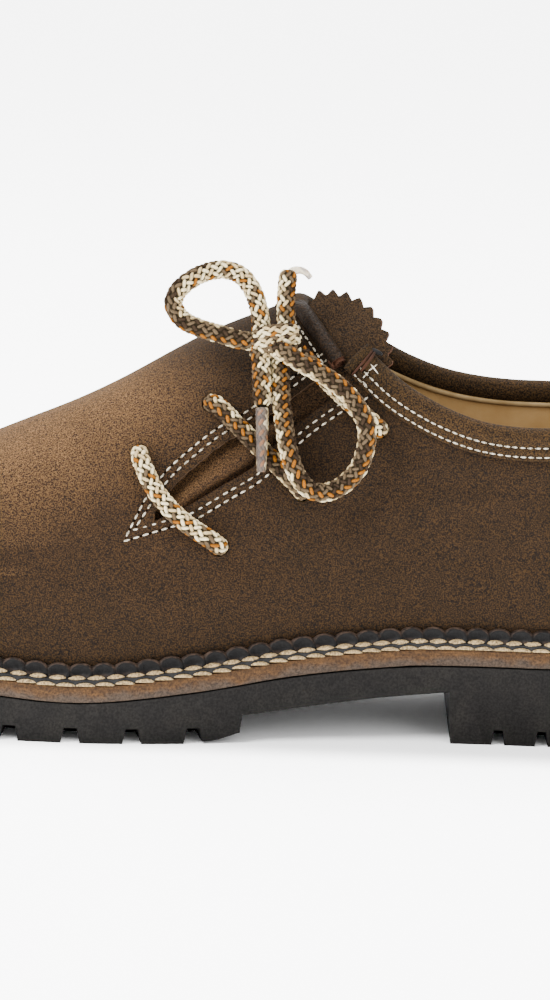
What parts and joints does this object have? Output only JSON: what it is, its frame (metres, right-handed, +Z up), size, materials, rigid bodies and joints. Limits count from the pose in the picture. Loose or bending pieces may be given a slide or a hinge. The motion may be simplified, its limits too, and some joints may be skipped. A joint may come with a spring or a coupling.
{
  "type": "haferl shoe",
  "caption": "Left low leather shoe with slanted side lacing, padded collar, pinked tongue, stitched welt and lugged rubber sole with heel.",
  "frame": {"origin": "on the floor under the heel's flat tread, 38 mm in front of the back of the heel", "axes": "+Z up, toe towards -X, heel towards +X, outer side of the foot towards -Y"},
  "size_m": [0.2975, 0.1041, 0.1398],
  "materials": {
    "sole_rubber": "matt moulded rubber, nearly black",
    "sole_leather": "cut edge of tan sole leather",
    "insole_leather": "smooth tan lining leather",
    "welt_leather": "dark waxed leather strip",
    "nubuck": "greased brown nubuck",
    "collar_leather": "soft padded brown nubuck",
    "tongue_leather": "soft darker brown nubuck",
    "lace_braid": "round braid of cream, ochre and brown threads",
    "lace_tip": "braid pressed and waxed into a tip"
  },
  "bodies": {
    "root": {"outsole": "sole_rubber", "midsole": "sole_leather", "insole": "insole_leather", "welt": "welt_leather", "upper": "nubuck", "collar": "collar_leather", "tongue": "tongue_leather", "lace_bar_1": "lace_braid", "lace_bar_2": "lace_braid", "lace_bar_3": "lace_braid", "lace_knot": "lace_braid", "lace_loop_upper": "lace_braid", "lace_loop_lower": "lace_braid", "lace_end_1": "lace_braid", "lace_end_2": "lace_braid", "aglet_1": "lace_tip", "aglet_2": "lace_tip"}
  },
  "joints": []
}
